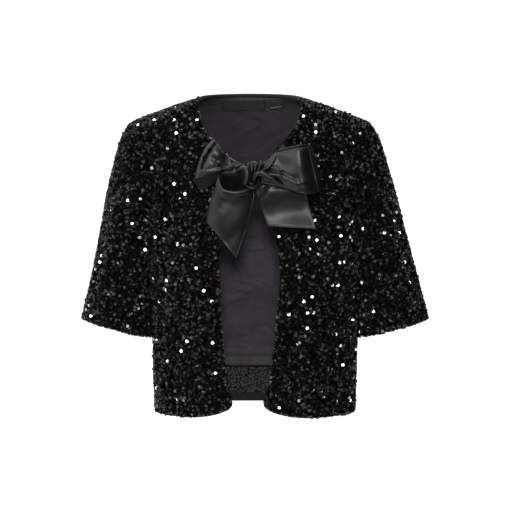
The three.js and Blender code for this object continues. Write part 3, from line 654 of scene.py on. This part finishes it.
edge, across = back_strip(BINDING["above"], BINDING["above"], rows=1)
edge, across = edge[0][:, None], across[0][:, None]
turn = np.linspace(0, 2 * np.pi, BINDING["sides"], endpoint=False)[None, :, None]
section = (power(np.cos(turn), BINDING["square"]) * BINDING["wide"] * across
           + power(np.sin(turn), BINDING["square"]) * np.array([0, 0, BINDING["high"]]))
corners, faces = closed_tube(edge - BINDING["inward"] * across + section)
binding = piece("neck_binding_band", corners, faces, [tape_cloth], uv=corners[:, [0, 2]] * MM)
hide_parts("neck_binding")

# Labels
# Two small woven labels sewn to the lining at the inside back neck, both blank. The size label is a folded
# tab; a light grey strip along the fold of its lower edge, which slants up to the left side, is a painted
# highlight.
SIZE_FOLD = {"left": 33.6, "right": 52.8, "z": -14.4, "slant": 0.21, "high": 1.0, "thick": 0.4}

# Polyester label, woven as a satin: dark grey with a dull gloss. Its picks are drawn 0.35 mm apart, twice as
# coarse as they are, and its patches of shade are 12.5 mm wide.
label_cloth, tree, shader, place = two_tone("label_woven_satin", "#2c2a2c", "#343134", 12.5, "UV", 2.0,
                                            Roughness=0.42, Specular_IOR_Level=0.4)
woven(tree, shader, place, 0.349, "Y", 0.25, 0.2)

# Painted highlight along the size tab's fold: plain light grey, with patches 3.3 mm wide.
painted_fold_highlight, *_ = two_tone("label_fold_painted_highlight", "#6a6a69", "#8e8e8c", 3.33333, Roughness=0.5)


def label(name, node, left, right, below, high):
    """Oblong patch on the inside of the back neck, from left to right and so far below the neck."""
    height = (NECK_RISE - np.linspace(below + high, below, 13))[:, None]
    x = np.linspace(left, right, 31)[None, :]
    grid = body(degrees_at(x, height), height)
    patch = wall(name, *grid, LINING, [label_cloth], out=-CLOTH - LINING - 3 * SEAM, slot="label")
    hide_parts(node)


# Strip along the size tab's fold: its light grey is a painted highlight
x = np.linspace(SIZE_FOLD["left"], SIZE_FOLD["right"], 25)[None, :]
rise = SIZE_FOLD["slant"] * (x - SIZE_FOLD["left"])
height = SIZE_FOLD["z"] + rise + np.linspace(0, SIZE_FOLD["high"], 5)[:, None]
fold = wall("size_label_fold", *body(degrees_at(x, height), height), SIZE_FOLD["thick"], [painted_fold_highlight],
            out=-CLOTH - 2 * LINING - 3 * SEAM, slot="label")
label("neck_label_patch", "neck_label", -46, 24, 3, 18)
label("size_label_tab", "size_label", 32, 54, 4, 15)

# Loops and tails of the bow
# Dark satin ribbon, 77 mm wide with rounded woven edges, one length to each side of the neck. Each makes a
# loop and a hanging tail, cut at a slant, and both go into the knot.
RIBBON = 1.2
# Rounded edge of the ribbon: its height in millimetres and its width in columns
SELVEDGE = {"high": 0.9, "wide": 1.5}

# Polyester satin: smooth and dark, with soft light bands where it bends. Its ribs are 0.15 mm apart and are
# drawn 0.39 mm apart, so that they stretch the gloss along the ribbon. Patches of shade are 22 mm wide.
satin, tree, shader, place = two_tone("ribbon_satin", "#0b0d0c", "#0f1110", 22.222, "UV", 2.0, Roughness=0.37,
                                      Specular_IOR_Level=0.64)
woven(tree, shader, place, 0.3927, "Y", 0.12, 0.2, 0.6)

# The bow is laid out on a flat drawing of its front, so that its folds can be placed one by one.
# Places are (across, down, forward): across and down in fifths of a millimetre, forward is Y in millimetres.
DRAWING = {"unit": 0.194, "middle": 478.4, "top": -56.2, "tilt": 0.064, "forward": -120}
# Folds are (from across, down, to across, down, half width, height forward); a trough's height is negative.
LOOP_LEFT = [
    [(560, 200, -108), (565, 225, -110), (568, 250, -111), (562, 275, -112), (556, 305, -111),
     (552, 335, -110)],
    [(600, 185, -112), (608, 215, -115), (604, 245, -116), (592, 275, -118), (582, 305, -119),
     (578, 345, -115)],
    [(690, 85, -116), (690, 140, -119), (685, 195, -120), (672, 250, -121), (668, 305, -122),
     (680, 365, -118)],
    [(790, 57, -122), (795, 125, -125), (795, 200, -126), (790, 268, -127), (790, 335, -127),
     (800, 400, -122)],
    [(866, 42, -126), (873, 115, -129), (880, 190, -131), (886, 265, -131), (894, 345, -131),
     (904, 428, -126)],
    [(925, 34, -120), (940, 110, -121), (955, 190, -122), (970, 270, -123), (980, 350, -124),
     (985, 430, -121)],
    [(962, 36, -111), (990, 110, -110), (1010, 190, -110), (1030, 270, -111), (1043, 345, -112),
     (1047, 412, -112)],
    [(950, 45, -105), (972, 112, -104), (988, 190, -104), (1000, 270, -104), (1008, 345, -104),
     (1008, 420, -105)],
    [(790, 75, -104), (795, 130, -104), (795, 200, -104), (790, 268, -104), (790, 330, -104),
     (800, 385, -105)],
    [(600, 200, -105), (608, 220, -105), (604, 245, -105), (592, 270, -105), (582, 295, -106),
     (578, 325, -106)],
]
LOOP_LEFT_FOLDS = [
    (690, 104, 925, 52, 9, -1.1), (690, 130, 740, 205, 46, -2.4), (632, 196, 690, 108, 26, 1.8),
    (590, 268, 710, 280, 24, 3.4), (710, 280, 880, 360, 30, 3.0), (600, 236, 740, 262, 16, -2.4),
    (740, 262, 830, 310, 18, -2.0), (850, 312, 890, 376, 24, -3.0), (600, 205, 700, 238, 17, 1.8),
    (600, 305, 700, 330, 16, -2.2), (952, 40, 1034, 400, 11, 2.2),
]
LOOP_RIGHT = [
    [(470, 205, -108), (462, 215, -110), (452, 228, -111), (440, 240, -112), (430, 255, -111),
     (420, 268, -110)],
    [(420, 190, -112), (405, 205, -115), (385, 222, -116), (360, 240, -117), (335, 255, -117),
     (310, 262, -113)],
    [(320, 150, -115), (305, 172, -118), (290, 198, -119), (272, 225, -120), (255, 250, -120),
     (238, 268, -116)],
    [(258, 75, -117), (242, 118, -121), (225, 160, -122), (205, 205, -123), (188, 245, -123),
     (170, 280, -119)],
    [(212, 20, -118), (185, 78, -122), (160, 130, -123), (138, 190, -124), (118, 240, -124),
     (105, 292, -120)],
    [(192, 6, -115), (150, 68, -118), (115, 135, -119), (92, 200, -119), (74, 255, -119), (60, 305, -116)],
    [(182, 0, -110), (125, 62, -111), (85, 140, -111), (62, 210, -111), (48, 265, -111), (40, 322, -110)],
    [(192, 12, -107), (150, 80, -108), (115, 150, -109), (92, 230, -109), (80, 310, -108), (80, 396, -104)],
    [(258, 90, -105), (242, 140, -107), (225, 190, -108), (205, 240, -109), (195, 300, -108),
     (192, 354, -104)],
    [(420, 200, -105), (405, 212, -105), (385, 228, -105), (360, 245, -105), (335, 265, -105),
     (310, 290, -105)],
]
LOOP_RIGHT_FOLDS = [
    (200, 30, 158, 88, 13, -6.5), (158, 88, 120, 152, 14, -7), (120, 152, 94, 226, 13, -6.5),
    (232, 100, 190, 190, 46, 1.6), (186, 150, 214, 166, 24, -1.6), (130, 264, 240, 242, 18, 2.2),
    (240, 242, 330, 215, 18, 2.4), (330, 215, 420, 205, 14, 1.8), (250, 205, 345, 228, 16, -2.6),
    (90, 290, 220, 268, 10, -1.6), (268, 98, 326, 166, 9, 1.6),
]
TAIL_RIGHT = [
    [(250, 262, -119), (275, 256, -120), (305, 252, -120), (340, 252, -119), (375, 248, -118),
     (405, 245, -116), (430, 252, -115)],
    [(242, 330, -112), (262, 380, -108), (295, 425, -105), (350, 440, -104), (405, 430, -104),
     (440, 415, -106), (470, 400, -110)],
    [(230, 287, -125.5), (243, 345, -128), (277, 393, -129.8), (345, 410, -130.4), (412, 405, -128.8),
     (465, 392, -126), (512, 404, -120)],
    [(220, 312, -127), (233, 372, -129.8), (269, 424, -132.2), (345, 444, -133), (415, 437, -131.4),
     (468, 424, -128.4), (517, 422, -122.5)],
    [(195, 395, -126), (220, 440, -127.5), (268, 484, -129), (345, 502, -129.3), (420, 494, -128.6),
     (472, 478, -127), (514, 456, -123.6)],
    [(162, 490, -122), (200, 535, -125.6), (255, 575, -128), (335, 590, -128), (405, 585, -127.4),
     (455, 570, -126), (495, 545, -123.6)],
    [(142, 590, -118), (180, 640, -122), (235, 690, -125), (305, 730, -126), (370, 740, -125.6),
     (415, 725, -124.4), (455, 690, -122)],
    [(130, 655, -115), (168, 702, -118.5), (206, 748, -121), (260, 815, -122.4), (310, 877, -122),
     (342, 915, -121.4), (372, 950, -120.4)],
]
TAIL_RIGHT_FOLDS = [
    (180, 450, 170, 600, 40, -1.2), (300, 800, 430, 700, 50, -1.4), (148, 644, 374, 930, 5, -0.5),
    (290, 470, 250, 540, 40, -1.2), (400, 500, 380, 640, 60, 1.0), (226, 352, 262, 420, 14, 1.0),
]
TAIL_LEFT = [
    [(530, 408, -113), (543, 396, -114), (558, 382, -114), (575, 370, -113), (592, 360, -112)],
    [(527, 428, -110), (560, 405, -111), (610, 385, -110), (690, 375, -107), (770, 372, -104)],
    [(527, 455, -108), (585, 430, -109), (655, 415, -109), (790, 412, -106), (925, 432, -103)],
    [(558, 520, -105), (650, 505, -106), (750, 497, -105), (850, 495, -103), (948, 502, -100)],
    [(590, 605, -105), (690, 602, -106), (790, 600, -105), (880, 600, -103), (977, 605, -101)],
    [(622, 690, -109), (720, 699, -110), (818, 705, -110), (915, 711, -108), (1012, 716, -106)],
]
TAIL_LEFT_FOLDS = [
    (598, 372, 548, 420, 14, 1.2), (640, 390, 580, 460, 22, -1.0), (640, 650, 900, 570, 80, -1.2),
    (560, 480, 700, 470, 50, 0.8), (622, 680, 1008, 705, 5, -0.5),
]


def drawn(places):
    """Millimetres from places on the drawing, by its unit, and lower as they come forward, by its tilt."""
    across, down, y = np.moveaxis(np.asarray(places, float), -1, 0)
    x = DRAWING["unit"] * (across - DRAWING["middle"])
    z = DRAWING["top"] - DRAWING["unit"] * down - DRAWING["tilt"] * (y - DRAWING["forward"])
    return np.stack([x, y, z], axis=-1)


def denser(net, count, axis):
    """Places on the curve through a net along one axis, evenly spread."""
    net = np.moveaxis(np.asarray(net, float), axis, 0)
    made = curve(np.arange(len(net)), net, np.linspace(0, len(net) - 1, count))
    return np.moveaxis(made, 0, axis)


def ridges(rows, across, down):
    """Sum of ridges and troughs: each a bell across a line from one place of the drawing to another."""
    total = np.zeros(across.shape)
    for x0, y0, x1, y1, wide, high in rows:
        dx, dy = x1 - x0, y1 - y0
        t = np.clip(((across - x0) * dx + (down - y0) * dy) / (dx * dx + dy * dy), 0, 1)
        total += high * np.exp(-((across - x0 - t * dx) ** 2 + (down - y0 - t * dy) ** 2) / wide ** 2)
    return total


def satin_wall(name, node, points):
    """Ribbon's thickness, half to each side of a grid, in place of its CAD node."""
    cloth = wall(name, points, facing(points), RIBBON, [satin], RIBBON / 2, slot="satin")
    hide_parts(node)


def ribbon(name, node, net, folded, front_rows, rows=130, columns=70):
    """Ribbon through a net; ridges and selvedge come forward on its front rows and fade by a soft step."""
    places = denser(denser(net, rows, 0), columns, 1)
    in_front = smooth((front_rows - np.linspace(0, len(net) - 1, rows)) / 0.6 + 0.5)[:, None]
    from_edge = np.minimum(np.arange(columns), np.arange(columns)[::-1]) / SELVEDGE["wide"]
    places[..., 2] -= in_front * ridges(folded, places[..., 0], places[..., 1])
    places[..., 2] -= in_front * SELVEDGE["high"] * np.exp(-from_edge ** 2)
    satin_wall(name, node, drawn(places))


ribbon("loop_left_satin", "loop_left", LOOP_LEFT, LOOP_LEFT_FOLDS, 6)
ribbon("loop_right_satin", "loop_right", LOOP_RIGHT, LOOP_RIGHT_FOLDS, 6)
ribbon("tail_left_satin", "tail_left", TAIL_LEFT, TAIL_LEFT_FOLDS, 9)
ribbon("tail_right_satin", "tail_right", TAIL_RIGHT, TAIL_RIGHT_FOLDS, 9)

# Ties
# The same satin ribbon, folded to a strip 13 mm wide. Each tie is sewn to a front's neckline and runs into
# the knot.
# Top x, top z, bottom x, bottom z, y
TIE_LEFT = [(53, -64, 58, -78, -78), (36, -82, 42, -94, -91), (15.5, -94, 17.5, -105, -100)]
TIE_RIGHT = [(-54, -63, -60, -78, -78), (-33, -84, -38, -96, -92), (-8.5, -97, -9.5, -108, -101)]
TIE_FOLD = 2.0


def tie(name, node, stations):
    """Strip between two curves through the stations, raised along its middle by the square of a sine."""
    top_x, top_z, bottom_x, bottom_z, y = denser(stations, 50, 0).T[..., None]
    share = np.linspace(0, 1, 17)
    rise = TIE_FOLD * np.sin(np.pi * share) ** 2
    points = np.stack([mix(top_x, bottom_x, share), y - rise, mix(top_z, bottom_z, share)], axis=-1)
    satin_wall(name, node, points)


tie("tie_left_satin", "tie_left", TIE_LEFT)
tie("tie_right_satin", "tie_right", TIE_RIGHT)

# Knot
# Both ribbons pass through it: gathered rolls of satin, pulled tight round a closed core. It holds the ties,
# the loops and the tails, with nothing sewn.
# Each row of a roll is (across, down, forward, half width, half depth), the last two in millimetres.
ROLLS = {
    "core": [(508, 178, -104, 6, 4), (508, 203, -108, 11, 8), (504, 240, -110, 11, 10),
             (498, 285, -110, 10.5, 10), (492, 335, -109, 8, 9), (495, 365, -107, 5, 6)],
    "left": [(366, 262, -115, 1.8, 3), (392, 238, -120, 2.8, 4), (428, 222, -123, 3.2, 4.5),
             (453, 246, -125, 3.8, 4.8), (459, 290, -126, 4.0, 4.8), (447, 338, -124.5, 3.7, 4.4),
             (420, 372, -121, 2.6, 3.4)],
    "foot": [(440, 332, -118, 1.6, 3), (446, 360, -122, 2.1, 4), (474, 378, -125, 2.3, 4.5),
             (507, 380, -125, 2.3, 4.5), (532, 360, -122, 2.1, 4), (538, 328, -117, 1.6, 3)],
    "lip": [(470, 326, -119, 1.4, 3), (482, 348, -123, 1.8, 3.5), (507, 348, -123, 1.8, 3.5),
            (520, 322, -119, 1.4, 3)],
    "right": [(528, 352, -117, 2, 3), (512, 312, -122, 3.0, 4.5), (528, 274, -125, 3.6, 5),
              (578, 268, -125, 4.2, 5), (632, 300, -126, 4.2, 4.5), (692, 336, -125, 3.6, 4),
              (752, 362, -123, 2.2, 2.5)],
    "pleat_1": [(484, 270, -117, 2.0, 3.5), (466, 228, -119, 2.4, 4), (464, 196, -115, 2.2, 3),
                (478, 180, -106, 1.6, 3)],
    "pleat_2": [(496, 290, -118, 2.0, 4), (496, 238, -121, 2.8, 4), (494, 194, -117, 2.6, 3.5),
                (500, 172, -106, 2, 3)],
    "pleat_3": [(514, 276, -119, 1.8, 3.5), (522, 232, -121, 2.6, 4), (530, 198, -117, 2.4, 3.5),
                (528, 182, -106, 2, 3)],
    "pleat_4": [(530, 262, -119, 1.8, 3.5), (552, 230, -121, 2.4, 4), (566, 188, -117, 2.6, 3),
                (564, 172, -106, 2, 3)],
    "pleat_5": [(552, 262, -119, 1.6, 3), (582, 244, -120, 2.2, 3.5), (604, 212, -116, 2.4, 3),
                (604, 198, -106, 1.8, 3)],
    "side": [(566, 250, -118, 1.6, 3), (624, 222, -121, 2.4, 3.5), (662, 178, -121, 2.6, 3),
             (692, 126, -118, 1.6, 2)],
}
# Rings and sides of a roll, its shallow pleats, and how bluntly and how far its ends close
ROLL = {"rings": 48, "sides": 32, "pleats": 5, "deep": 0.07, "blunt": 8, "closed": 0.96}


def roll(rows):
    """Closed tube along places: an ellipse with pleats by a cosine, narrowed at its ends by a high power."""
    fine = denser(rows, ROLL["rings"], 0)
    middle = drawn(fine[:, :3])
    along = unit(np.gradient(middle, axis=0))
    aside = unit(np.cross(along, [0.0, 1.0, 0.0]))
    front = np.cross(aside, along)
    turn = np.linspace(0, 2 * np.pi, ROLL["sides"], endpoint=False)[None, :, None]
    pleat = 1 + ROLL["deep"] * np.cos(ROLL["pleats"] * turn)
    closing = np.sqrt(1 - ROLL["closed"] * np.linspace(-1, 1, len(fine)) ** ROLL["blunt"])[:, None, None]
    half_wide, half_deep = fine[:, None, 3:4], fine[:, None, 4:5]
    spread = np.cos(turn) * aside[:, None] * half_wide + np.sin(turn) * front[:, None] * half_deep
    return closed_tube(middle[:, None] + spread * pleat * closing)


rolls = [roll(rows) for rows in ROLLS.values()]
corners = np.concatenate([each[0] for each in rolls])
faces = np.concatenate([each[1] + k * len(each[0]) for k, each in enumerate(rolls)])
knot = piece("knot_satin", corners, faces, [satin], uv=corners[:, [0, 2]] * MM)
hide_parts("knot")

# Floor
# Plain pale disc of painted board, a metre below the garment and out of the picture. It shows from above, and
# sends a little light back up.
FLOOR = {"radius": 1.3, "z": -1.5}

# Matt paint, its patches half a metre wide and hardly different.
floor_paint, *_ = two_tone("floor_paint", "#d8d8d8", "#dcdcdc", 500, Roughness=0.9)
bpy.ops.mesh.primitive_circle_add(vertices=96, radius=FLOOR["radius"], fill_type="NGON",
                                  location=(0, 0, FLOOR["z"]))
floor = bpy.context.object
floor.name = "floor"
floor.data.materials.append(floor_paint)

# Studio
# White to the camera. For light and gloss it glows behind, above and to the left, hardly in front, and on the
# right the glow is taken off again.
# Each side: axis, where its glow begins and is full along the axis, and how strong it gets
GLOW = {
    "rear": ("Y", 0.35, 0.9, 1.2), "top": ("Z", 0.1, 0.9, 1.0), "left": ("X", -0.3, -0.9, 0.75),
    "right": ("X", 0.3, 0.9, -0.45),
}
GLOW_ALL_ROUND = 0.05
world = bpy.data.worlds.new("studio")
bpy.context.scene.world = world
world.use_nodes = True
tree = world.node_tree
around = add_node(tree, "ShaderNodeTexCoord").outputs["Generated"]
way = add_node(tree, "ShaderNodeSeparateXYZ", {"Vector": around})
level = GLOW_ALL_ROUND
for axis, start, end, strength in GLOW.values():
    glow = add_node(tree, "ShaderNodeMapRange", {"Value": way.outputs[axis], "From Min": start,
                                                 "From Max": end, "To Max": strength},
                    interpolation_type="SMOOTHSTEP")
    level = add_node(tree, "ShaderNodeMath", {0: level, 1: glow.outputs[0]}, operation="ADD").outputs[0]
seen = add_node(tree, "ShaderNodeLightPath").outputs["Is Camera Ray"]
shown = add_node(tree, "ShaderNodeMath", {0: level, 1: seen}, operation="MAXIMUM")
tree.links.new(shown.outputs[0], tree.nodes["Background"].inputs["Strength"])
tree.nodes["Background"].inputs["Color"].default_value = (1, 1, 1, 1)

# Lamps
# Soft boxes to both sides and in front, and a small flash above the camera for the sequins' glints.
# Places are in metres.
MIDDLE = (0.0096, 0.0, -0.25)


def lamp(name, place, size, watts):
    """Square soft light at a place, turned to the middle of the garment."""
    light = bpy.data.lights.new(name, "AREA")
    light.size, light.energy = size, watts
    made = bpy.data.objects.new(name, light)
    made.location = place
    made.rotation_euler = (Vector(MIDDLE) - Vector(place)).to_track_quat("-Z", "Y").to_euler()
    bpy.context.scene.collection.objects.link(made)


lamp("softbox_left", (-2.3, -2.9, 0.9), 1.9, 20)
lamp("softbox_right", (1.2, -3.6, 0.5), 1.3, 2.5)
lamp("softbox_front", (0.0, -5.2, 0.9), 3.0, 8)
lamp("flash", (0.0, -4.2, 0.85), 0.45, 60)

# Camera
# At the photo's angle, 4.5 m away and 6 degrees above the middle of the garment.
# The lens gives 1.6 mm to a pixel.
EYE, AIM = Vector((0.0096, -4.4753, 0.2208)), Vector((0.0096, 0, -0.2496))
camera = bpy.data.cameras.new("camera")
camera.lens, camera.sensor_width, camera.clip_end = 197.75, 36, 50
view = bpy.data.objects.new("camera", camera)
view.location = EYE
view.rotation_euler = (AIM - EYE).to_track_quat("-Z", "Y").to_euler()
bpy.context.scene.collection.objects.link(view)
bpy.context.scene.camera = view
bpy.context.scene.view_settings.view_transform = "Standard"
